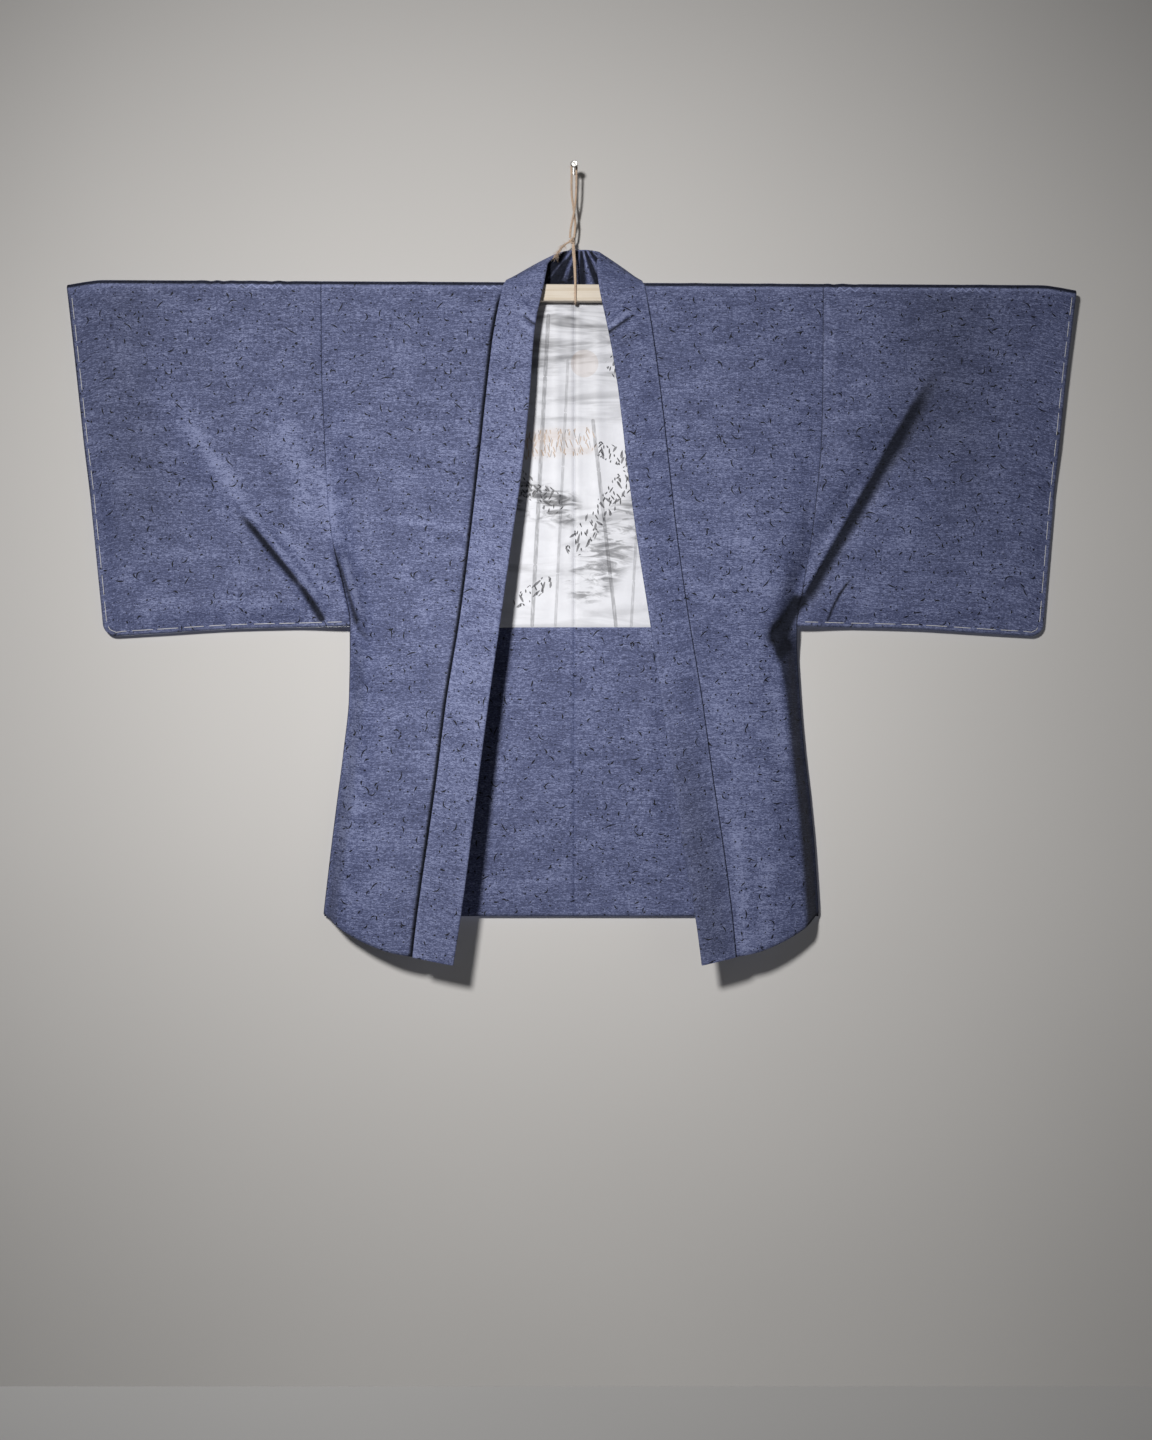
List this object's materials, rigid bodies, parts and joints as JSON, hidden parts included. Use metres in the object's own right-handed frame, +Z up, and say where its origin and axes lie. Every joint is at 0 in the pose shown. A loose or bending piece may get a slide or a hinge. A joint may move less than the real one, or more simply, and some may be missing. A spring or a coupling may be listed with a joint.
{
  "type": "haori jacket on a hanging batten",
  "caption": "Men's haori jacket hung open on a flat wooden batten through its sleeves, with a turned-out collar, side gussets and pale lining, held by a twine loop on a wall nail.",
  "frame": {"origin": "where the nail enters the wall, above the middle of the jacket", "axes": "+X to the right as seen from the front, +Y into the wall, +Z up; the jacket's front faces -Y and the wall is the plane y = 0"},
  "size_m": [1.3349, 0.1215, 1.0501],
  "materials": {
    "shell_cloth": "slate-blue slubbed silk with scattered short black flecks and a soft sheen",
    "lining_silk": "smooth ivory silk with a pale ink-wash design",
    "pale_wood": "planed unfinished softwood",
    "jute_twine": "twisted hairy jute",
    "nail_steel": "bright wire nail"
  },
  "bodies": {
    "root": {"body_left": "shell_cloth", "body_right": "shell_cloth", "sleeve_left": "shell_cloth", "sleeve_right": "shell_cloth", "gusset_left": "shell_cloth", "gusset_right": "shell_cloth", "collar_left": "shell_cloth", "collar_neck": "shell_cloth", "collar_right": "shell_cloth", "turnup_left": "shell_cloth", "turnup_right": "shell_cloth", "lining_left": "lining_silk", "lining_right": "lining_silk", "hanging_batten": "pale_wood", "twine_hanger": "jute_twine", "twine_knot": "jute_twine", "twine_sling": "jute_twine", "wall_nail": "nail_steel"}
  },
  "joints": []
}
